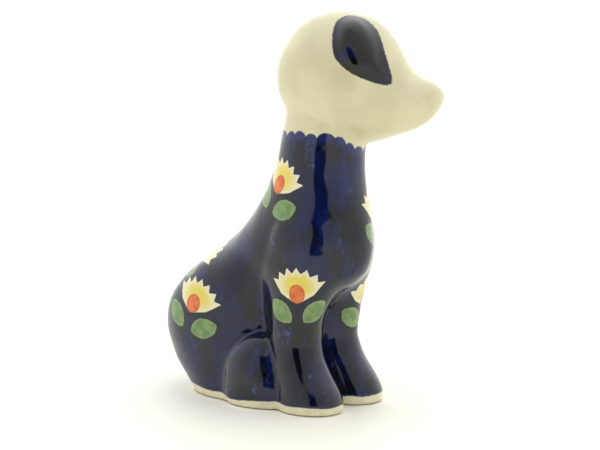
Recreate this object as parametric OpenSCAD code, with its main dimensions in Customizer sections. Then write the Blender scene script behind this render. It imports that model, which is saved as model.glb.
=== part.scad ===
// Sitting puppy figurine in glazed stoneware. Its hollow clay sections are luted together with slip
// and fired as one rigid piece. The puppy faces -Y, its left side is at +X, and it rests on Z = 0.
// The origin is under the middle of the body, on the surface that the figurine stands on.

/* [Figure] */
// Height of the fired figurine
figure_h = 150; // [130:1:180]
// How far the head is turned to the puppy's left, in degrees
head_turn = 36; // [0:1:40]

/* [Clay] */
// Thickness of the cast wall
wall = 4; // [3:0.5:5]
// Thickness of the floor slab
floor_t = 3.5; // [3:0.5:5]
// Radius of the vent hole through the floor slab
vent_r = 4.5; // [2:0.5:6]

/* [Relief] */
// How far the ears stand out of the skull
ear_relief = 2.8; // [1.5:0.1:3.5]
// Radius of the tail at its root
tail_r = 5.2; // [4:0.1:5.5]

/* [Hidden] */

COBALT = [0.10, 0.12, 0.32];
NAVY = [0.05, 0.06, 0.14];
CREAM = [0.87, 0.85, 0.72];
BARE_CLAY = [0.78, 0.73, 0.62];

// The stations below draw a figurine 150 high, and everything is scaled from that to figure_h.
drawn_to_fired = figure_h / 150;

RIGHT = -1;
LEFT = 1;

// Points round a section, and rings from one station to the next.
SIDES = 32;
STEPS = 2;

// ---- Upright sections, all ellipses: [z, centre x, centre y, half width, half depth] ----
TORSO = [
    [0, 0, 12, 17.5, 26.5], [6, 0, 12.5, 17.8, 27.5], [16, 0, 13.5, 17.6, 29.5], [28, 0, 13.8, 17, 31],
    [38, 0, 10.5, 17, 33.5], [45, 0, 4.5, 17.8, 36.5], [52, 0, -3, 18.9, 37.3], [60, 0, -10, 19.4, 32.6],
    [68, 0, -14.6, 19, 27.5], [76, 0, -17.2, 18.3, 23.2], [85, 0, -18.9, 17.2, 19.2],
    [94, 0, -20.6, 16.2, 16.8], [102, 0, -21.8, 15.9, 15.9], [111, 1, -22.6, 15.7, 15.7],
    [118, 2, -23.5, 14, 14]];
HAUNCH = [
    [0, 11.4, 11.5, 12.2, 20.5], [5, 12, 14.5, 12.2, 21.7], [12, 12.8, 18.5, 12.2, 23],
    [20, 13.2, 21, 12.6, 24], [28, 13.4, 21.7, 12.9, 24.5], [36, 12.8, 20.4, 12.7, 24.2],
    [44, 11.6, 16.6, 12, 22.6], [51, 10.4, 11.8, 10.6, 19.2], [57, 8.8, 6, 8.2, 13.4], [62, 7, 0, 4, 6.5]];
FORELEG = [
    [0, 11.8, -25.2, 11.4, 13.4], [4, 11.9, -25.2, 11.6, 13.8], [9, 11.8, -23.8, 11, 12.6],
    [16, 11.2, -20.2, 10.2, 10.6], [25, 10.7, -17.4, 9.8, 10], [37, 10.5, -17.8, 10.2, 11.6],
    [49, 9.9, -19.4, 11, 14], [60, 9, -20.8, 11.4, 15], [70, 7.8, -21, 11.2, 13.6], [79, 5.5, -20.8, 8, 8.6]];
HIND_FOOT = [
    [0, 14.6, -2.6, 12, 16.8], [4, 14.9, -2.6, 12.4, 17.1], [11, 15, -2.3, 12.1, 16.4],
    [17, 14.8, -1.8, 11.2, 14.6], [22, 14.4, -1.3, 9.7, 11.9], [26, 13.9, -1, 6.9, 7.9],
    [28, 13.5, -0.8, 3, 3.4]];

// ---- Head along its own axis, from the middle of the skull: [forward, top, bottom, half width] ----
SKULL_AT = [3, -25.8, 126];
HEAD = [
    [-23, 1, -1, 1], [-21.4, 8, -8, 7.6], [-17, 15.6, -15.6, 14.2], [-9.5, 21.6, -21.2, 19.4],
    [0, 24, -24.2, 21.2], [7, 23.4, -25.5, 21.2], [13, 21.6, -25.6, 19.9], [18.6, 18, -24.1, 17.8],
    [22.6, 12.8, -22.7, 15.8], [25.8, 6.8, -21.8, 14.2], [29, 1.8, -20.6, 12.6], [32.7, -1.1, -18.6, 10.6],
    [36.4, -2.8, -15.4, 8], [39, -4.7, -11.4, 4.6], [40.1, -7, -8.9, 1.4]];

// ---- Ear on the side of the skull: its outline in [forward, up], and its rings from root to crown ----
EAR = [
    [4.2, 22.3], [0.6, 20.5], [-0.5, 16], [-0.4, 11.6], [0.8, 7.4], [5, 3.2], [9.6, 0.7], [14.8, -1.4],
    [20, -2.5], [21.3, -0.4], [19.5, 5], [17.6, 11.4], [15.3, 17], [11.7, 20.5], [8, 22]];
EAR_MID = [9.2, 10];
EAR_ROOT = -2.2;
EAR_RINGS = [[1, 0.02], [0.94, 0.32], [0.84, 0.58], [0.68, 0.8], [0.45, 0.95], [0.18, 1]];

// ---- Tail: [x, y, z, share of tail_r] along its middle, from the rump round the left haunch ----
TAIL = [
    [1, 37, 16, 0.9], [7, 40.5, 12.5, 1], [14.5, 39.5, 9, 0.98], [21.5, 34, 6.6, 0.94],
    [26, 26, 5.4, 0.9], [27.8, 18.5, 4.7, 0.78], [28, 12.5, 4.2, 0.55], [27, 9.5, 4, 0.22]];
TAIL_SIDES = 16;

// ---- Where head and torso are luted: a plane across the neck, lowest at the throat ----
LUTE_AT = [0, -22, 100.5];
LUTE_TILT = 10;
LUTE_TURN = 20;

// ---- Floor slab: a stadium along Y, with the vent hole near its rear end ----
SLAB_R = 13;
SLAB_FRONT = -1;
SLAB_REAR = 25;
VENT_AT = [0, 22];

// Larger than the figurine, and the small overlap of a cut.
BEYOND = 400;
OVER = 0.5;

// ---- A smooth curve through a list of stations ----
function held(s, i) = s[max(0, min(len(s) - 1, i))];
function curve(a, b, c, d, t) = let (t2 = t * t, t3 = t2 * t)
    0.5 * (2 * b + (c - a) * t + (2 * a - 5 * b + 4 * c - d) * t2 + (3 * b - a - 3 * c + d) * t3);
function between(s, i, t) = curve(held(s, i - 1), s[i], s[i + 1], held(s, i + 2), t);
function smooth(s) = concat(
    [for (i = [0 : len(s) - 2], n = [0 : STEPS - 1]) between(s, i, n / STEPS)], [s[len(s) - 1]]);

// ---- Rings of points round a section ----
function upright_ring(s, grow) = [for (i = [0 : SIDES - 1]) let (t = 360 * i / SIDES)
    [s[1] + (s[3] + grow) * cos(t), s[2] + (s[4] + grow) * sin(t), s[0]]];

function head_ring(s, grow) =
    let (mid = (s[1] + s[2]) / 2, half = max(0.4, (s[1] - s[2]) / 2 + grow), wide = max(0.4, s[3] + grow))
    [for (i = [0 : SIDES - 1]) let (t = -360 * i / SIDES) [wide * cos(t), s[0], mid + half * sin(t)]];

function tail_ring(s, way) =
    let (out = cross(way, [0, 0, 1]) / norm(cross(way, [0, 0, 1])), up = cross(out, way) / norm(way))
    [for (i = [0 : TAIL_SIDES - 1]) let (t = 360 * i / TAIL_SIDES)
        [s[0], s[1], s[2]] + s[3] * tail_r * (cos(t) * out + sin(t) * up)];

// ---- The skull's section at a distance forward, and a point that stands off its side ----
function skull_section(forward) =
    let (i = max([for (n = [0 : len(HEAD) - 2]) HEAD[n][0] <= forward ? n : 0]))
    between(HEAD, i, (forward - HEAD[i][0]) / (HEAD[i + 1][0] - HEAD[i][0]));

function off_skull(p, out) =
    let (s = skull_section(p[0]), mid = (s[1] + s[2]) / 2, half = (s[1] - s[2]) / 2,
        rise = min(0.995, (p[1] - mid) / half), reach = sqrt(1 - rise * rise),
        normal = [reach / s[3], rise / half] / norm([reach / s[3], rise / half]))
    [-s[3] * reach - normal[0] * out, p[0], mid + half * rise + normal[1] * out];

// ---- A closed solid through rings that all have the same number of points ----
module loft(rings) {
    n = len(rings[0]);
    last = len(rings) - 1;
    polyhedron(
        points = [for (ring = rings, p = ring) p],
        faces = concat(
            [[for (i = [0 : n - 1]) i]],
            [for (r = [0 : last - 1], i = [0 : n - 1]) let (j = (i + 1) % n, a = r * n, b = a + n)
                each [[a + i, b + j, a + j], [a + i, b + i, b + j]]],
            [[for (i = [n - 1 : -1 : 0]) last * n + i]]));
}

// ---- The modelled forms. A negative grow gives the hollow inside the wall. ----
module upright(stations, grow = 0) loft([for (s = smooth(stations)) upright_ring(s, grow)]);

module on_side(side, stations) mirror([side == RIGHT ? 1 : 0, 0, 0]) upright(stations);

module facing_head() translate(SKULL_AT) rotate(180 + head_turn) children();

module head_form(grow = 0) facing_head() loft([for (s = smooth(HEAD)) head_ring(s, grow)]);

module neck_hollow() intersection() {
    upright(TORSO, -wall);
    translate([-BEYOND / 2, -BEYOND / 2, floor_t]) cube(BEYOND);
}

module above_lute()
    translate(LUTE_AT) rotate([-LUTE_TILT, 0, LUTE_TURN])
        translate([-BEYOND / 2, -BEYOND / 2, 0]) cube(BEYOND);

module slab(thickness) linear_extrude(thickness) {
    translate([0, SLAB_FRONT]) circle(SLAB_R, $fn = 96);
    translate([0, SLAB_REAR]) circle(SLAB_R, $fn = 96);
    translate([-SLAB_R, SLAB_FRONT]) square([2 * SLAB_R, SLAB_REAR - SLAB_FRONT]);
}

// A section that is modelled freehand becomes one mesh at the fired size.
module modelled() scale(drawn_to_fired) resize([0, 0, 0]) children();

// ---- Sections of the figurine ----
module torso_shell() color(COBALT) modelled() difference() {
    upright(TORSO);
    above_lute();
    head_form();
    neck_hollow();
    translate([0, 0, -OVER]) slab(floor_t + 2 * OVER);
}

module head_shell() color(CREAM) modelled() difference() {
    union() {
        head_form();
        intersection() {
            upright(TORSO);
            above_lute();
        }
    }
    head_form(-wall);
    neck_hollow();
}

module ear(side) color(NAVY) modelled() difference() {
    outline = smooth(concat(EAR, [EAR[0]]));
    root = [for (p = outline) off_skull(p, EAR_ROOT)];
    rings = [for (ring = EAR_RINGS)
        [for (p = outline) off_skull(EAR_MID + ring[0] * (p - EAR_MID), ring[1] * ear_relief)]];
    facing_head() mirror([side == RIGHT ? 1 : 0, 0, 0]) loft(concat([root], rings));
    head_form();
}

module foreleg(side) color(COBALT) modelled() difference() {
    on_side(side, FORELEG);
    upright(TORSO);
}

module haunch(side) color(COBALT) modelled() difference() {
    on_side(side, HAUNCH);
    upright(TORSO);
    on_side(side, FORELEG);
}

module hind_foot(side) color(COBALT) modelled() difference() {
    on_side(side, HIND_FOOT);
    upright(TORSO);
    on_side(side, FORELEG);
    on_side(side, HAUNCH);
}

module right_ear() ear(RIGHT);
module left_ear() ear(LEFT);
module right_foreleg() foreleg(RIGHT);
module left_foreleg() foreleg(LEFT);
module right_haunch() haunch(RIGHT);
module left_haunch() haunch(LEFT);
module right_hind_foot() hind_foot(RIGHT);
module left_hind_foot() hind_foot(LEFT);

module tail() color(NAVY) modelled() difference() {
    middle = smooth([for (s = TAIL) [s[0], s[1], s[2]]]);
    shares = smooth([for (s = TAIL) s[3]]);
    last = len(middle) - 1;
    loft([for (i = [0 : last]) tail_ring(concat(middle[i], [shares[i]]),
        i < last ? middle[i + 1] - middle[i] : middle[i] - middle[i - 1])]);
    upright(TORSO);
    on_side(LEFT, HAUNCH);
    on_side(LEFT, HIND_FOOT);
}

module base_plate() color(BARE_CLAY) scale(drawn_to_fired) difference() {
    slab(floor_t);
    translate([VENT_AT[0], VENT_AT[1], -OVER]) cylinder(r = vent_r, h = floor_t + 2 * OVER, $fn = 48);
}

torso_shell();
head_shell();
right_ear();
left_ear();
right_foreleg();
left_foreleg();
right_haunch();
left_haunch();
right_hind_foot();
left_hind_foot();
tail();
base_plate();
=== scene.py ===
import math

import bpy
import numpy as np
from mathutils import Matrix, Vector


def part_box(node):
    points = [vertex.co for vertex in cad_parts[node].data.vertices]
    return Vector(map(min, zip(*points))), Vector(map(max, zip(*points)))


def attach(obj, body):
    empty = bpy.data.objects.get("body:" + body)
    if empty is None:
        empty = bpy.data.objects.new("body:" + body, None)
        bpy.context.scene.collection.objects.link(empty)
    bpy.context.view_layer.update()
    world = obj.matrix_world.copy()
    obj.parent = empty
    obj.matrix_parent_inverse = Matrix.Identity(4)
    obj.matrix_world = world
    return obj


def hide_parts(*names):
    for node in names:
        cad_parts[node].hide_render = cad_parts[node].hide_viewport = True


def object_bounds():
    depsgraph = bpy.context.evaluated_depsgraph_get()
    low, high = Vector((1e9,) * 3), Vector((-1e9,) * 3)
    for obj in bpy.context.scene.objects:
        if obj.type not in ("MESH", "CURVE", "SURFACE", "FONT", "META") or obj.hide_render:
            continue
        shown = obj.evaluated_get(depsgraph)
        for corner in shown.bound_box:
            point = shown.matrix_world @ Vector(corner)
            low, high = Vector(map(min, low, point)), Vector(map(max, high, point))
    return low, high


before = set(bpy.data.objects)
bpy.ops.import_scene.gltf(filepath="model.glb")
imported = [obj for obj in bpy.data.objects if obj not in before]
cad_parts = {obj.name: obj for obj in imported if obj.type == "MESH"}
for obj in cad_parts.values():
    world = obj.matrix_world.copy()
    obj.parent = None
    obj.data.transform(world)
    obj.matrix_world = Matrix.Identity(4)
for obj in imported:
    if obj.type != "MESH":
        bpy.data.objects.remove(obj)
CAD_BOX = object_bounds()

import openvdb
from mathutils import Vector

MM = 0.001

# =============================================================================================
# The skin: one continuous surface, made from distance fields of the CAD sections
# =============================================================================================
VOXEL = 0.6 * MM
BAND = 16                     # voxels of distance kept each side of a surface
MARGIN = BAND * VOXEL
DRAWN_OUT = 0.9 * MARGIN      # how far a sole is drawn out below the ground, so that it is cut off flat
SLAB = "base_plate"
CORE = ("torso_shell", "head_shell", SLAB)
SIDES = ("right", "left")
LIMB_FILLETS = {              # the fillet that the modeller smoothed in round each limb
    "foreleg": 6 * MM,
    "haunch": 3 * MM,
    "hind_foot": 1.8 * MM,
}
TAIL_FILLET = 2 * MM
NECK_FILLET = 1.5 * MM
EAR_FILLET = 1.8 * MM
SOLE_EDGE = 1.6 * MM
FORM_BLUR = 0.95 * MM
EAR_BLUR = 1.3 * MM
HOLLOW_TOP = 14 * MM          # how high over the ground the hollow inside is cut, where the vent shows it
HAND_WAVES = (                # wavelength, then direction, of the unevenness that fingers leave
    (23 * MM, (0.8, 0.3, 0.5)), (17 * MM, (-0.4, 0.9, 0.3)), (13 * MM, (0.3, -0.5, 0.8)),
    (11 * MM, (0.7, 0.6, -0.4)), (9 * MM, (-0.6, 0.2, 0.8)))
HAND_DEPTH = 0.045 * MM

LOW, HIGH = (np.array(corner) for corner in CAD_BOX)
GRID_LOW = np.floor((LOW - MARGIN) / VOXEL) * VOXEL
GRID_SHAPE = tuple(np.ceil((HIGH + MARGIN - GRID_LOW) / VOXEL).astype(int) + 1)


def node_mesh(name):
    """Welded vertices and triangles of a CAD node, with its sole drawn out below the ground."""
    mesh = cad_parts[name].data
    mesh.calc_loop_triangles()
    places = np.empty(len(mesh.vertices) * 3, np.float32)
    mesh.vertices.foreach_get("co", places)
    corners = np.empty(len(mesh.loop_triangles) * 3, np.int32)
    mesh.loop_triangles.foreach_get("vertices", corners)
    places = places.reshape(-1, 3).astype(float)
    _, first, weld = np.unique(np.round(places / 1e-7), axis=0, return_index=True, return_inverse=True)
    places = places[first]
    places[places[:, 2] < 1e-6, 2] -= DRAWN_OUT
    return places, weld.ravel()[corners].reshape(-1, 3)


def distances(places, triangles=None, quads=None):
    """Signed distance to a closed mesh at every point of the grid."""
    faces = {}
    if triangles is not None:
        faces["triangles"] = triangles.astype(np.uint32)
    if quads is not None:
        faces["quads"] = quads.astype(np.uint32)
    inside = ((places - GRID_LOW) / VOXEL).astype(np.float32)
    grid = openvdb.FloatGrid.createLevelSetFromPolygons(inside, halfWidth=BAND, **faces)
    field = np.empty(GRID_SHAPE, np.float32)
    grid.copyToArray(field)
    return field * np.float32(VOXEL)


def surface(field, level=0.0):
    """Vertices and quads of the surface where the field has that level."""
    grid = openvdb.FloatGrid(float(field.max()))
    grid.copyFromArray(field)
    places, quads = grid.convertToQuads(isovalue=level)
    return places * VOXEL + GRID_LOW, quads


def filled(field):
    """The field with its closed hollow filled: a point is in it if it meets clay in all six directions."""
    clay = field < 0
    hollow = ~clay
    for axis in range(3):
        for way in (slice(None), slice(None, None, -1)):
            turned = np.moveaxis(clay, axis, 0)[way]
            met = np.maximum.accumulate(turned, axis=0)[way]
            hollow &= np.moveaxis(met, 0, axis)
    field = field.copy()
    field[hollow] = -MARGIN / 2
    return field


def closed(field, radius):
    """Rounds the field's creases to that radius and leaves its ridges alone."""
    places, quads = surface(field, radius)
    return distances(places, quads=quads) + np.float32(radius)


def joined(a, b, radius):
    """Both solids, with a fillet of about that radius where they meet."""
    near = np.clip(radius - np.abs(a - b), 0, None) / radius
    return np.minimum(a, b) - near * near * np.float32(radius / 4)


def blurred(field, spread):
    """The field softened by a Gaussian of that spread."""
    reach = int(math.ceil(3 * spread / VOXEL))
    weights = np.exp(-0.5 * (np.arange(-reach, reach + 1) * VOXEL / spread) ** 2)
    weights = (weights / weights.sum()).astype(np.float32)
    for axis in range(3):
        padded = np.pad(field, [(reach, reach) if n == axis else (0, 0) for n in range(3)], mode="edge")
        size = field.shape[axis]
        total = np.zeros_like(field)
        for step, weight in enumerate(weights):
            part = [slice(None)] * 3
            part[axis] = slice(step, step + size)
            total += weight * padded[tuple(part)]
        field = total
    return field


def grid_axes():
    """The grid's x, y and z, each laid along its own axis."""
    return [GRID_LOW[n] + VOXEL * np.arange(GRID_SHAPE[n], dtype=np.float32).reshape(
        [-1 if m == n else 1 for m in range(3)]) for n in range(3)]


def well_distances():
    """Distance to the hollow that opens under the figurine, which the floor slab closes."""
    low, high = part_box(SLAB)
    x, y, z = grid_axes()
    radius = (high[0] - low[0]) / 2
    straight = np.clip(y, low[1] + radius, high[1] - radius)
    side = np.sqrt(x * x + (y - straight) ** 2) - radius
    return np.maximum(side, z - HOLLOW_TOP).astype(np.float32)


def hand_waves():
    """The slight unevenness of a form that was finished by hand."""
    x, y, z = grid_axes()
    total = np.zeros(GRID_SHAPE, np.float32)
    for number, (length, way) in enumerate(HAND_WAVES):
        turn = 2 * math.pi / length / np.linalg.norm(way)
        total += np.sin(turn * (way[0] * x + way[1] * y + way[2] * z) + number).astype(np.float32)
    return total * np.float32(HAND_DEPTH)


def clay_fields():
    """The distance field of each CAD section, and that of the whole figurine."""
    sections = {name: distances(*node_mesh(name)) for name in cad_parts}
    core = np.minimum.reduce([sections[name] for name in CORE])
    places, quads = surface(filled(core))
    core = closed(distances(places, quads=quads), NECK_FILLET)
    halves = []
    for side in SIDES:
        half = core
        for limb, fillet in LIMB_FILLETS.items():
            half = joined(half, sections[f"{side}_{limb}"], fillet)
        halves.append(half)
    whole = joined(np.minimum(*halves), sections["tail"], TAIL_FILLET)
    whole = blurred(whole, FORM_BLUR)
    for side in SIDES:
        whole = joined(whole, blurred(sections[f"{side}_ear"], EAR_BLUR), EAR_FILLET)
    _, _, z = grid_axes()
    whole += hand_waves()
    whole = -joined(-whole, np.broadcast_to(z, GRID_SHAPE), SOLE_EDGE)
    whole = np.maximum(whole, -well_distances())
    return sections, whole


def sampled(field, places):
    """Trilinear samples of a grid, or of a stack of grids in its last axis."""
    at = (places - GRID_LOW) / VOXEL
    cell = np.clip(np.floor(at).astype(int), 0, np.array(GRID_SHAPE) - 2)
    part = at - cell
    total = 0
    for corner in np.ndindex(2, 2, 2):
        weight = np.prod(np.where(corner, part, 1 - part), axis=1)
        value = field[tuple((cell + corner).T)]
        total = total + (weight if value.ndim == 1 else weight[:, None]) * value
    return total


def skin_of(whole):
    """Vertices on the figurine's surface, their normals, and its quads facing out."""
    places, quads = surface(whole)
    slope = np.stack(np.gradient(whole, VOXEL), axis=-1)
    for _ in range(2):
        normals = sampled(slope, places)
        steep = np.linalg.norm(normals, axis=1, keepdims=True)
        places = places - sampled(whole, places)[:, None] * normals / np.maximum(steep, 0.3) ** 2
    normals = sampled(slope, places)
    normals /= np.linalg.norm(normals, axis=1, keepdims=True)
    across = np.cross(places[quads[:, 2]] - places[quads[:, 0]], places[quads[:, 3]] - places[quads[:, 1]])
    if (across * normals[quads[:, 0]]).sum() < 0:
        quads = quads[:, ::-1]
    return places, normals, quads


# =============================================================================================
# The sections: the skin is parted along the luted seams into one closed piece per CAD node
# =============================================================================================
PIECES = [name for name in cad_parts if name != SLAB]
EAR_LEAD = 0.6 * MM           # how far an ear's piece reaches over the skull
SEAM_ROUNDS = 10
STRAY_ROUNDS = 50              # most rounds that stray patches take to join their neighbours


def neighbours(quads):
    """For each quad, the quads across its four edges."""
    start = quads.astype(np.int64).ravel()
    end = np.roll(quads, -1, axis=1).astype(np.int64).ravel()
    key = np.minimum(start, end) * (start.max() + 1) + np.maximum(start, end)
    order = np.argsort(key, kind="stable")
    one, other = order[0::2], order[1::2]
    across = np.empty(len(key), np.int64)
    across[one] = other // 4
    across[other] = one // 4
    return across.reshape(-1, 4)


def smoothed_labels(labels, across):
    """Labels whose borders are evened out by a vote among each quad and its neighbours."""
    for _ in range(SEAM_ROUNDS):
        votes = [(labels == n) + 2 * (labels[across] == n).sum(axis=1) for n in range(len(PIECES))]
        labels = np.argmax(votes, axis=0)
    return labels


def islands(labels, across):
    """A number for each connected patch of quads with the same label."""
    patch = np.arange(len(labels))
    same = labels[across] == labels[:, None]
    while True:
        lowest = np.minimum(patch, np.where(same, patch[across], len(patch)).min(axis=1))
        lowest = lowest[lowest]
        if (lowest == patch).all():
            return patch
        patch = lowest


def section_labels(places, quads, sections):
    """Which piece each quad of the skin belongs to: one connected patch for each."""
    middles = places[quads].mean(axis=1)
    reach = np.stack([sampled(sections[name], middles) for name in PIECES], axis=1)
    reach -= np.array([EAR_LEAD if name.endswith("_ear") else 0 for name in PIECES])
    across = neighbours(quads)
    labels = smoothed_labels(reach.argmin(axis=1), across)
    for _ in range(STRAY_ROUNDS):
        patch = islands(labels, across)
        numbers, home, size = np.unique(patch, return_inverse=True, return_counts=True)
        biggest = {}
        for number in np.argsort(size):
            biggest[labels[numbers[number]]] = number
        stray = ~np.isin(home.ravel(), list(biggest.values()))
        if not stray.any():
            break
        near = across[stray]
        other = np.where(stray[near], -1, labels[near]).max(axis=1)
        labels[stray] = np.where(other >= 0, other, labels[stray])
    return labels, across


def simple_loops(starts, ends):
    """Closed loops, with no point twice in one loop, through directed edges."""
    follow = {}
    for start, end in zip(starts.tolist(), ends.tolist()):
        follow.setdefault(start, []).append(end)
    loops = []
    while follow:
        point = next(iter(follow))
        path, place = [point], {point: 0}
        while path:
            onward = follow[path[-1]]
            point = onward.pop()
            if not onward:
                del follow[path[-1]]
            if point in place:
                loop = path[place[point]:]
                loops.append(loop)
                for passed in loop[1:]:
                    del place[passed]
                del path[place[point] + 1:]
                if path[-1] not in follow:
                    break
            else:
                place[point] = len(path)
                path.append(point)
    return loops


def closed_patch(quads, places, mine, across):
    """The faces of one piece: its quads of the skin, and a hidden fan inside each seam that closes it."""
    own = quads[mine]
    border = ~mine[across[mine]]
    starts, ends = own[border], np.roll(own, -1, axis=1)[border]
    caps, tips = [], []
    for loop in simple_loops(starts, ends):
        tips.append(places[loop].mean(axis=0))
        tip = len(places) + len(tips) - 1
        caps += [(after, before, tip) for before, after in zip(loop, loop[1:] + loop[:1])]
    return own, np.array(caps), np.array(tips)


def section_mesh(name, skin, mine, across, paint):
    """The closed mesh of one piece, with the skin's own normals and the paint's guides."""
    places, normals, quads = skin
    own, caps, tips = closed_patch(quads, places, mine, across)
    used, packed = np.unique(np.concatenate([own.ravel(), caps.ravel()]), return_inverse=True)
    points = np.concatenate([places, tips])[used]
    sizes = np.repeat([4, 3], [len(own), len(caps)])
    mesh = bpy.data.meshes.new(name)
    mesh.vertices.add(len(points))
    mesh.vertices.foreach_set("co", points.astype(np.float32).ravel())
    mesh.loops.add(len(packed))
    mesh.loops.foreach_set("vertex_index", packed.astype(np.int32).ravel())
    mesh.polygons.add(len(sizes))
    mesh.polygons.foreach_set("loop_start", (np.cumsum(sizes) - sizes).astype(np.int32))
    mesh.update(calc_edges=True)
    mesh.polygons.foreach_set("use_smooth", sizes == 4)
    turned = np.concatenate([normals[own.ravel()], np.zeros((3 * len(caps), 3))])
    mesh.normals_split_custom_set(turned.tolist())
    for guide, values in paint.items():
        kind = "FLOAT_VECTOR" if values.shape[-1] == 3 else "FLOAT"
        blank = np.full((3 * len(caps), values.shape[-1]), FAR)
        every = np.concatenate([values[mine].reshape(-1, values.shape[-1]), blank]).astype(np.float32)
        attribute = mesh.attributes.new(guide, kind, "CORNER")
        attribute.data.foreach_set("vector" if kind == "FLOAT_VECTOR" else "value", every.ravel())
    return mesh


# =============================================================================================
# The paint's guides: where each stamped flower sits, and how far each point is from an ear
# =============================================================================================
FAR = 99.0
STAMP_REACH = 20 * MM         # furthest that a flower or its leaves spread from their middle
STAMP_RISE = 3 * MM           # from the foot of a flower's cup to the middle of flower and leaves
# About where the foot of each flower's cup stands on the skin, how far its top leans to the right
# in degrees, the radius that it wraps round, and how far it is stretched across.
STAMPS = (
    ((-19.5, -25.5, 41.5), 0, 22, 1),     # right foreleg
    ((15.5, -27.5, 37), -12, 20, 1),      # left foreleg
    ((-26.5, 24, 33), 15, 30, 1.2),       # right haunch
    ((26.5, 21, 34), -8, 30, 1.2),        # left haunch
    ((-17, -12, 82), 20, 17, 1),          # right shoulder
    ((13, -11, 81), -20, 17, 1),          # left shoulder
    ((12.5, -38, 70), 3, 20, 1),          # chest
    ((-10, 30, 52.5), 26, 22, 1),         # back
    ((-2, 45, 24), 4, 25, 1))             # rump


def stamp_guide(places, normals, quads):
    """Across and up, in millimetres, from the foot of the nearest flower."""
    corners = places[quads]
    middles = corners.mean(axis=1)
    best = np.full(len(quads), STAMP_REACH)
    guide = np.full((len(quads), 4, 3), FAR)
    for spot, lean, wrap, stretch in STAMPS:
        home = np.argmin(((places - np.array(spot) * MM) ** 2).sum(axis=1))
        foot, out = Vector(places[home]), Vector(normals[home])
        upright = (Vector((0, 0, 1)) - out.z * out).normalized()
        right = upright.cross(out)
        lean = math.radians(lean)
        up = np.array(math.cos(lean) * upright + math.sin(lean) * right)
        right = np.array(math.cos(lean) * right - math.sin(lean) * upright)
        out, foot = np.array(out), np.array(foot)
        reach = np.linalg.norm(middles - foot - STAMP_RISE * up, axis=1)
        mine = reach < best
        best[mine] = reach[mine]
        spoke = corners[mine] - foot + wrap * MM * out
        turn = np.arctan2(spoke @ right, spoke @ out)
        across = wrap * turn / stretch
        guide[mine] = np.stack([across, spoke @ up / MM, np.zeros_like(turn)], axis=-1)
    return guide


def ear_guide(places, quads, sections):
    """How far each corner is from the nearer ear, in millimetres."""
    ears = [sampled(sections[f"{side}_ear"], places) for side in SIDES]
    return (np.minimum(*ears) / MM)[quads][..., None]


def add_sections():
    """One visible piece for each CAD section."""
    sections, whole = clay_fields()
    places, normals, quads = skin_of(whole)
    labels, across = section_labels(places, quads, sections)
    paint = {"stamp": stamp_guide(places, normals, quads), "ear": ear_guide(places, quads, sections)}
    glaze = painted_stoneware()
    for number, name in enumerate(PIECES):
        mesh = section_mesh(name + "_skin", (places, normals, quads), labels == number, across, paint)
        mesh.materials.append(glaze)
        piece = bpy.data.objects.new(name + "_skin", mesh)
        bpy.context.scene.collection.objects.link(piece)
        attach(piece, "root")
        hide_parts(name)


# =============================================================================================
# Numbers that vary over a surface, as shader nodes
# =============================================================================================
def feed(slot, value):
    """Sets an input to a Field or to a fixed value."""
    if isinstance(value, Field):
        slot.id_data.links.new(value.socket, slot)
    else:
        slot.default_value = value


class Field:
    """A number that varies over a surface: an output socket of its material's nodes."""

    def __init__(self, socket):
        self.socket = socket

    def math(self, operation, *others):
        node = self.socket.id_data.nodes.new("ShaderNodeMath")
        node.operation = operation
        for slot, value in zip(node.inputs, (self, *others)):
            feed(slot, value)
        return Field(node.outputs[0])

    def __add__(self, other):
        return self.math("ADD", other)

    def __sub__(self, other):
        return self.math("SUBTRACT", other)

    def __mul__(self, other):
        return self.math("MULTIPLY", other)

    def __neg__(self):
        return self * -1

    def flipped(self):
        return self.math("MULTIPLY_ADD", -1, 1)

    def least(self, other):
        return self.math("MINIMUM", other)

    def most(self, other):
        return self.math("MAXIMUM", other)

    def rising(self, low, high):
        """0 below low, 1 above high, and smooth between them."""
        node = self.socket.id_data.nodes.new("ShaderNodeMapRange")
        node.interpolation_type = "SMOOTHSTEP"
        feed(node.inputs["Value"], self)
        feed(node.inputs["From Min"], low)
        feed(node.inputs["From Max"], high)
        return Field(node.outputs["Result"])

    def falling(self, low, high):
        return self.rising(low, high).flipped()


def length_of(x, y):
    """How long the arrow with these two parts is."""
    return (x * x + y * y).math("SQRT")


def split(vector):
    """The three parts of a vector socket."""
    node = vector.id_data.nodes.new("ShaderNodeSeparateXYZ")
    vector.id_data.links.new(vector, node.inputs[0])
    return [Field(part) for part in node.outputs]


def guide_of(tree, name):
    """The node that reads one of the mesh's guides."""
    node = tree.nodes.new("ShaderNodeAttribute")
    node.attribute_name = name
    return node


def place_of(tree):
    """Where a point is, in metres, in the object's own frame."""
    return tree.nodes.new("ShaderNodeTexCoord").outputs["Object"]


def noise(place, size, seed, detail=2.0):
    """Noise from 0 to 1 with grains of about that size."""
    node = place.id_data.nodes.new("ShaderNodeTexNoise")
    node.noise_dimensions = "4D"
    place.id_data.links.new(place, node.inputs["Vector"])
    node.inputs["W"].default_value = seed
    node.inputs["Scale"].default_value = 1 / size
    node.inputs["Detail"].default_value = detail
    return Field(node.outputs["Fac"])


def drawn_down(place, stretch):
    """The place with its height squeezed, so that noise on it runs down in brush strokes."""
    node = place.id_data.nodes.new("ShaderNodeMapping")
    place.id_data.links.new(place, node.inputs["Vector"])
    node.inputs["Scale"].default_value = (1, 1, 1 / stretch)
    return node.outputs["Vector"]


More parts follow.
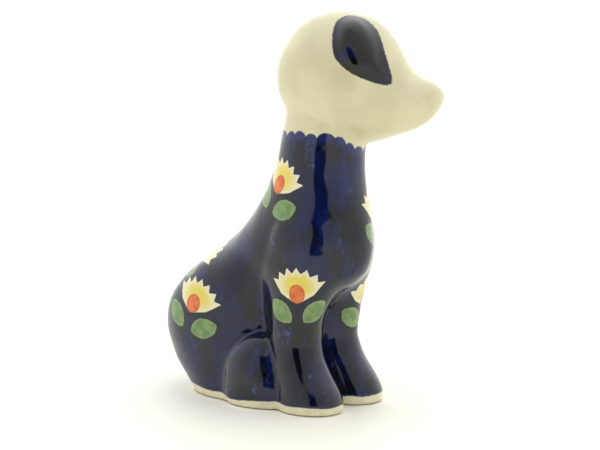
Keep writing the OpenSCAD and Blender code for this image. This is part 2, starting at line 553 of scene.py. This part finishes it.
def specks(place, spacing, size, share):
    """1 in round specks of that size, in that share of the cells of that spacing."""
    node = place.id_data.nodes.new("ShaderNodeTexVoronoi")
    place.id_data.links.new(place, node.inputs["Vector"])
    node.inputs["Scale"].default_value = 1 / spacing
    chosen, _, _ = split(node.outputs["Color"])
    near = Field(node.outputs["Distance"]).falling(0.4 * size / spacing, 0.6 * size / spacing)
    return near * chosen.falling(share, share + 0.001)


def colour(red, green, blue):
    """A paint's linear colour from its everyday 0 to 255 values."""
    parts = [value / 255 for value in (red, green, blue)]
    return tuple(((v + 0.055) / 1.055) ** 2.4 if v > 0.04 else v / 12.92 for v in parts) + (1,)


def over(under, paint, cover):
    """One paint over another where cover is 1. Each is a colour or a socket."""
    tree = cover.socket.id_data
    node = tree.nodes.new("ShaderNodeMix")
    node.data_type = "RGBA"
    feed(node.inputs["Factor"], cover)
    slots = [slot for slot in node.inputs if slot.type == "RGBA"]
    for slot, value in zip(slots, (under, paint)):
        feed(slot, value)
    return Field([slot for slot in node.outputs if slot.type == "RGBA"][0])


# =============================================================================================
# Materials
# =============================================================================================
# A plain folk flower, in millimetres from the foot of its cup: equal pointed petals in a fan, a round
# heart, and two equal leaves.
FLOWER_MIDDLE = (0, 5.4)
PETALS = 7
PETAL_FAN = math.radians(52)
PETAL_REACH = 14.0
PETAL_NOTCH = 11.6
CUP_BULGE = 0.9
LEAF_MIDDLE = (6.8, -3.4)
LEAF_LENGTH = 11.5
LEAF_WIDTH = 7.6
LEAF_RISE = math.radians(38)
LEAF_POINTS = 16
HEART_MIDDLE = (0, 3.8)
HEART_HALF = (3.1, 3.7)
LARGEST = 16.0                # no outline is further than this from its middle


def flower_outline():
    """A cup with a fan of equal pointed petals."""
    rim = []
    for n in range(2 * PETALS - 1):
        turn = PETAL_FAN * (1 - n / (PETALS - 1))
        reach = PETAL_NOTCH if n % 2 else PETAL_REACH
        rim.append((reach * math.sin(turn), reach * math.cos(turn)))
    x, y = rim[0]
    bulge = (x / 2 + CUP_BULGE, y / 2 - CUP_BULGE)
    return [(0, 0), bulge] + rim + [(-bulge[0], bulge[1])]


def leaf_outline(side):
    """A leaf with two blunt tips, on the right for side 1 and on the left for side -1."""
    points = []
    for n in range(LEAF_POINTS):
        turn = 2 * math.pi * n / LEAF_POINTS
        along = LEAF_LENGTH / 2 * math.cos(turn)
        aside = LEAF_WIDTH / 2 * math.sin(turn) * abs(math.sin(turn)) ** 0.4
        x = along * math.cos(LEAF_RISE) - aside * math.sin(LEAF_RISE)
        y = along * math.sin(LEAF_RISE) + aside * math.cos(LEAF_RISE)
        points.append((side * (LEAF_MIDDLE[0] + x), LEAF_MIDDLE[1] + y))
    return points


def outside(across, up, middle, outline):
    """How far a point is outside an outline, in millimetres along the spoke from its middle."""
    x, y = across - middle[0], up - middle[1]
    turn = x.math("ARCTAN2", y) * (0.5 / math.pi) + 0.5
    node = turn.socket.id_data.nodes.new("ShaderNodeFloatCurve")
    feed(node.inputs["Value"], turn)
    spokes = []
    for (x0, y0), (x1, y1) in zip(outline, outline[1:] + outline[:1]):
        for part in (0, 0.25, 0.5, 0.75):
            px, py = x0 + part * (x1 - x0) - middle[0], y0 + part * (y1 - y0) - middle[1]
            spokes.append((math.atan2(px, py) * 0.5 / math.pi + 0.5, math.hypot(px, py) / LARGEST))
    spokes.sort()
    joint = (spokes[0][1] + spokes[-1][1]) / 2
    spokes = [(0, joint)] + [spoke for spoke in spokes if 0 < spoke[0] < 1] + [(1, joint)]
    curve = node.mapping.curves[0]
    curve.points[0].location = spokes[0]
    curve.points[1].location = spokes[-1]
    for spoke in spokes[1:-1]:
        curve.points.new(*spoke)
    for point in curve.points:
        point.handle_type = "VECTOR"
    node.mapping.update()
    return length_of(x, y) - Field(node.outputs["Value"]) * LARGEST


def new_material(name):
    """A material, its node tree and its shader."""
    material = bpy.data.materials.new(name)
    material.use_nodes = True
    return material, material.node_tree, material.node_tree.nodes["Principled BSDF"]


EDGE = 0.22                   # half the softness of a painted edge, in millimetres
WOBBLE = 0.7                  # how far a painted edge strays, in millimetres
COLLAR_Z = 103 * MM           # height of the collar's line, away from the throat
COLLAR_DIP = 6.7 * MM         # how much lower it is at the throat
COLLAR_DIP_AT = math.radians(18)
COLLAR_DIP_WIDE = math.radians(38)
NECK_Y = -22 * MM
DABS = 19                     # brush dabs round the collar
DAB_DROP = 2.7                # how far the gaps between dabs drop, in millimetres
RIM = 3.1                     # height of the bare rim over the ground, in millimetres
CREAM = colour(218, 212, 176)


def collar_height(x, y, z):
    """Millimetres above the lower edge of the cream, and how far round the dabs a point is."""
    azimuth = x.math("ARCTAN2", -(y - NECK_Y))
    dip = (azimuth - COLLAR_DIP_AT) * (1 / COLLAR_DIP_WIDE)
    line = (-(dip * dip)).math("EXPONENT") * -COLLAR_DIP + COLLAR_Z
    round_dabs = azimuth * (DABS / (2 * math.pi))
    uneven = (azimuth * 5 + 1).math("SINE") * 0.12 + (azimuth * 8 + 2.5).math("SINE") * 0.08
    turn = (round_dabs + uneven).math("FRACT") * 2 - 1
    arch = (-(turn * turn) * 0.8 + 1.02).math("SQRT") * DAB_DROP
    stagger = (azimuth * 7).math("SINE") * 0.45
    return (z - line) * (1 / MM) - arch - stagger, turn


def cobalt_coat(place):
    """Cobalt laid on by hand: near black where thick, blue where thin."""
    cloud = noise(place, 14 * MM, 1, 3)
    strokes = noise(drawn_down(place, 3), 4.5 * MM, 2, 3)
    grain = noise(place, 1.3 * MM, 3, 3)
    coat = over(colour(9, 12, 28), colour(12, 20, 62), cloud.rising(0.4, 0.6))
    coat = over(coat, colour(13, 16, 13), noise(place, 17 * MM, 4, 2).rising(0.5, 0.62) * 0.75)
    coat = over(coat, colour(22, 35, 94), strokes.rising(0.51, 0.68) * grain.rising(0.25, 0.58) * 0.8)
    light = noise(drawn_down(place, 2), 3.4 * MM, 5, 4).rising(0.59, 0.73) * grain.rising(0.44, 0.62)
    return over(coat, colour(58, 84, 146), light * 0.7)


def flower_paint(coat, place, tree):
    """The stamped flowers, over the cobalt."""
    across, up, _ = split(guide_of(tree, "stamp").outputs["Vector"])
    stray = (noise(place, 1.7 * MM, 6, 2) - 0.5) * WOBBLE
    flower = outside(across, up, FLOWER_MIDDLE, flower_outline()) + stray
    right_leaf, left_leaf = (
        outside(across, up, (side * LEAF_MIDDLE[0], LEAF_MIDDLE[1]), leaf_outline(side)) for side in (1, -1))
    leaves = left_leaf.least(right_leaf) + stray
    near = flower.least(leaves)

    halo = near.falling(0.4, 3.2) * up.falling(4, 9)
    coat = over(coat, colour(13, 23, 15), halo * 0.85)

    cloudy = noise(place, 3.2 * MM, 7, 3)
    leaf = over(colour(96, 128, 76), colour(124, 152, 94), cloudy.rising(0.36, 0.64))
    leaf = over(leaf, colour(140, 158, 118), leaves.rising(-1.1, -0.1) * 0.6)
    coat = over(coat, leaf, leaves.falling(-EDGE, EDGE))

    glow_x, glow_y = (across - 0.4) * (1 / 7.4), (up - 7) * (1 / 6.2)
    glow = length_of(glow_x, glow_y) + (cloudy - 0.5) * 0.5
    petal = over(colour(226, 206, 92), colour(228, 222, 176), glow.rising(0.42, 1.12))
    petal = over(petal, colour(230, 225, 196), flower.rising(-1.8, -0.3) * 0.75)
    deep = noise(place, 5 * MM, 8, 2).rising(0.55, 0.68) * glow.falling(0.5, 0.8)
    petal = over(petal, colour(232, 188, 84), deep * 0.6)
    coat = over(coat, petal, flower.falling(-EDGE, EDGE))

    heart_x = (across - HEART_MIDDLE[0]) * (1 / HEART_HALF[0])
    heart_y = (up - HEART_MIDDLE[1]) * (1 / HEART_HALF[1])
    heart = length_of(heart_x, heart_y) + stray * 0.25
    orange = over(colour(226, 126, 62), colour(212, 88, 36), noise(place, 2.6 * MM, 9, 2).rising(0.38, 0.64))
    orange = over(orange, colour(186, 84, 34), heart.rising(0.72, 0.95) * 0.7)
    coat = over(coat, orange, heart.falling(0.95, 1.05) * flower.falling(-0.1, 0.5))
    return coat


def painted_stoneware():
    """Cream clay with a cobalt coat, stamped flowers and navy ears, under a clear gloss glaze."""
    material, tree, shader = new_material("painted_stoneware")
    place = place_of(tree)
    x, y, z = split(place)
    stray = (noise(place, 1.4 * MM, 10, 2) - 0.5) * WOBBLE
    slow = noise(place, 15 * MM, 11, 1) - 0.5

    cream = over(CREAM, colour(200, 194, 156), noise(place, 20 * MM, 12, 2).rising(0.4, 0.65) * 0.6)
    cream = over(cream, colour(186, 184, 156), noise(place, 0.9 * MM, 19, 3).rising(0.5, 0.72) * 0.3)
    cream = over(cream, colour(164, 170, 150), specks(place, 5 * MM, 0.5 * MM, 0.5) * 0.55)
    cream = over(cream, colour(120, 104, 74), specks(place, 7 * MM, 0.3 * MM, 0.6) * 0.7)

    above_collar, turn = collar_height(x, y, z)
    body = (above_collar + stray * 0.7).falling(-EDGE, EDGE)
    above_rim = z * (1 / MM) - slow * 4 - RIM + stray
    body = body * above_rim.rising(-EDGE, EDGE)

    smudge = noise(place, 2.4 * MM, 13, 2).rising(0.63, 0.72) * above_collar.falling(3, 9)
    cream = over(cream, colour(150, 168, 158), smudge * 0.5)
    rim = over(colour(230, 223, 192), colour(218, 208, 174), noise(place, 4 * MM, 14, 3).rising(0.4, 0.7))
    cream = over(cream, rim, (z * (1 / MM)).falling(3, 6))

    flowers = flower_paint(cobalt_coat(place), place, tree)
    dab = above_collar.rising(-4.6, -2.2) * (turn * turn).falling(0.3, 1)
    coat = over(flowers, colour(34, 46, 104), dab * 0.75)
    thin = above_collar.rising(-0.9, 0).most(above_rim.falling(0, 0.8))
    coat = over(coat, colour(44, 74, 124), thin * 0.55)

    ear = Field(guide_of(tree, "ear").outputs["Fac"]) + stray * 0.8
    navy = over(colour(10, 10, 12), colour(14, 20, 58), noise(place, 6 * MM, 15, 3).rising(0.48, 0.66))
    navy = over(navy, colour(34, 60, 92), ear.rising(0.05, 0.45) * 0.6)

    paint = over(cream, coat, body)
    paint = over(paint, navy, ear.falling(0.35 - EDGE, 0.35 + EDGE))
    # Where the feet meet the ground the glaze stops: a bare, rough foot ring, painted darker than bare clay
    # as a painted contact shadow too.
    sole = (z * (1 / MM) + stray * 0.6).falling(0.25, 0.55)
    paint = over(paint, colour(150, 132, 100), sole)
    feed(shader.inputs["Base Color"], paint)

    rough = sole * 0.5 + noise(place, 9 * MM, 16, 2) * 0.05 + 0.05
    feed(shader.inputs["Roughness"], rough)
    shader.inputs["IOR"].default_value = 1.52
    bump = tree.nodes.new("ShaderNodeBump")
    bump.inputs["Distance"].default_value = 0.02 * MM
    bump.inputs["Strength"].default_value = 0.5
    feed(bump.inputs["Height"], noise(place, 2.2 * MM, 17, 2) + sole * noise(place, 0.4 * MM, 18, 3) * 3)
    feed(shader.inputs["Normal"], Field(bump.outputs["Normal"]))
    return material


def bare_clay():
    """Unglazed fired stoneware, with grog and a little iron in it."""
    material, tree, shader = new_material("bare_clay")
    place = place_of(tree)
    clay = over(colour(196, 180, 146), colour(176, 154, 118), noise(place, 8 * MM, 20, 3).rising(0.35, 0.65))
    clay = over(clay, colour(128, 100, 70), specks(place, 2.2 * MM, 0.35 * MM, 0.35) * 0.7)
    feed(shader.inputs["Base Color"], clay)
    feed(shader.inputs["Roughness"], noise(place, 1.5 * MM, 21, 2) * 0.15 + 0.62)
    bump = tree.nodes.new("ShaderNodeBump")
    bump.inputs["Distance"].default_value = 0.08 * MM
    feed(bump.inputs["Height"], noise(place, 0.5 * MM, 22, 4))
    feed(shader.inputs["Normal"], Field(bump.outputs["Normal"]))
    return material


def finish_floor_slab():
    """The floor slab keeps its CAD shape and gets the bare clay."""
    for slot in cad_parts[SLAB].material_slots:
        slot.material = bare_clay()


# =============================================================================================
# Studio
# =============================================================================================
CAMERA_AZIMUTH = math.radians(-49)
CAMERA_PITCH = math.radians(8.63)
CAMERA_AWAY = 693 * MM
CAMERA_HEIGHT = 172 * MM
CAMERA_ASIDE = 7.5 * MM
VIEW_WIDTH_PER_LENGTH = 600 / 1809
NEAR_FLOOR = 0.33             # metres from the middle to the near floor's edge, and to the far floor's
FAR_FLOOR = 9.0
TENT_LIGHT = 1.22
TENT_TURN = 0.48              # how much dimmer the tent is round the camera, and brighter behind
TENT_TOP = 0.1                # how much brighter it is overhead
FLOOR_LIGHT = 1.15            # what the floor sends back, carried on below the horizon
OPENING_AT = math.radians(-56.5)
OPENING_HALF = math.radians(13.5)
OPENING_TOP = 0.7


def add_camera():
    """A camera in front of the puppy's right shoulder, tilted down a little."""
    data = bpy.data.cameras.new("camera")
    data.sensor_width = 36
    data.lens = data.sensor_width / VIEW_WIDTH_PER_LENGTH
    camera = bpy.data.objects.new("camera", data)
    towards = Vector((math.sin(CAMERA_AZIMUTH), -math.cos(CAMERA_AZIMUTH), 0))
    right = Vector((math.cos(CAMERA_AZIMUTH), math.sin(CAMERA_AZIMUTH), 0))
    camera.location = CAMERA_AWAY * towards + CAMERA_ASIDE * right + Vector((0, 0, CAMERA_HEIGHT))
    camera.rotation_euler = (math.pi / 2 - CAMERA_PITCH, 0, CAMERA_AZIMUTH)
    bpy.context.scene.collection.objects.link(camera)
    bpy.context.scene.camera = camera


def add_floor():
    """A pale floor in two pieces on one level: the far one doesn't show in the glaze."""
    material, _, shader = new_material("pale_floor")
    shader.inputs["Base Color"].default_value = (0.97, 0.96, 0.89, 1)
    shader.inputs["Roughness"].default_value = 0.6
    corners = [(-1, -1), (1, -1), (1, 1), (-1, 1)]
    points = [(x * half, y * half, 0) for half in (NEAR_FLOOR, FAR_FLOOR) for x, y in corners]
    rings = [(4 + n, 4 + (n + 1) % 4, (n + 1) % 4, n) for n in range(4)]
    for name, faces in (("near_floor", [(0, 1, 2, 3)]), ("far_floor", rings)):
        mesh = bpy.data.meshes.new(name)
        mesh.from_pydata(points, [], faces)
        mesh.materials.append(material)
        floor = bpy.data.objects.new(name, mesh)
        floor.visible_glossy = name == "near_floor"
        bpy.context.scene.collection.objects.link(floor)


def add_light_tent():
    """A white tent with a dark opening in front, which the glaze reflects and the camera doesn't see."""
    world = bpy.data.worlds.new("light_tent")
    world.use_nodes = True
    bpy.context.scene.world = world
    tree = world.node_tree
    shader = tree.nodes["Background"]
    x, y, z = split(tree.nodes.new("ShaderNodeTexCoord").outputs["Generated"])
    azimuth = x.math("ARCTAN2", -y)
    aside = (azimuth - OPENING_AT).math("ABSOLUTE")
    low = z.falling(OPENING_TOP - 0.1, OPENING_TOP)
    opening = aside.falling(OPENING_HALF - 0.03, OPENING_HALF + 0.03) * low
    seen = Field(tree.nodes.new("ShaderNodeLightPath").outputs["Is Camera Ray"])
    tent = over(colour(255, 255, 252), colour(30, 32, 34), opening * seen.flipped())
    feed(shader.inputs["Color"], tent)
    facing = (azimuth - CAMERA_AZIMUTH).math("COSINE")
    light = facing * -TENT_TURN + z.rising(0.3, 0.9) * TENT_TOP + TENT_LIGHT
    feed(shader.inputs["Strength"], light + (-light + FLOOR_LIGHT) * z.falling(-0.2, 0.25))


bpy.context.scene.view_settings.view_transform = "Standard"
add_camera()
add_sections()
finish_floor_slab()
add_floor()
add_light_tent()
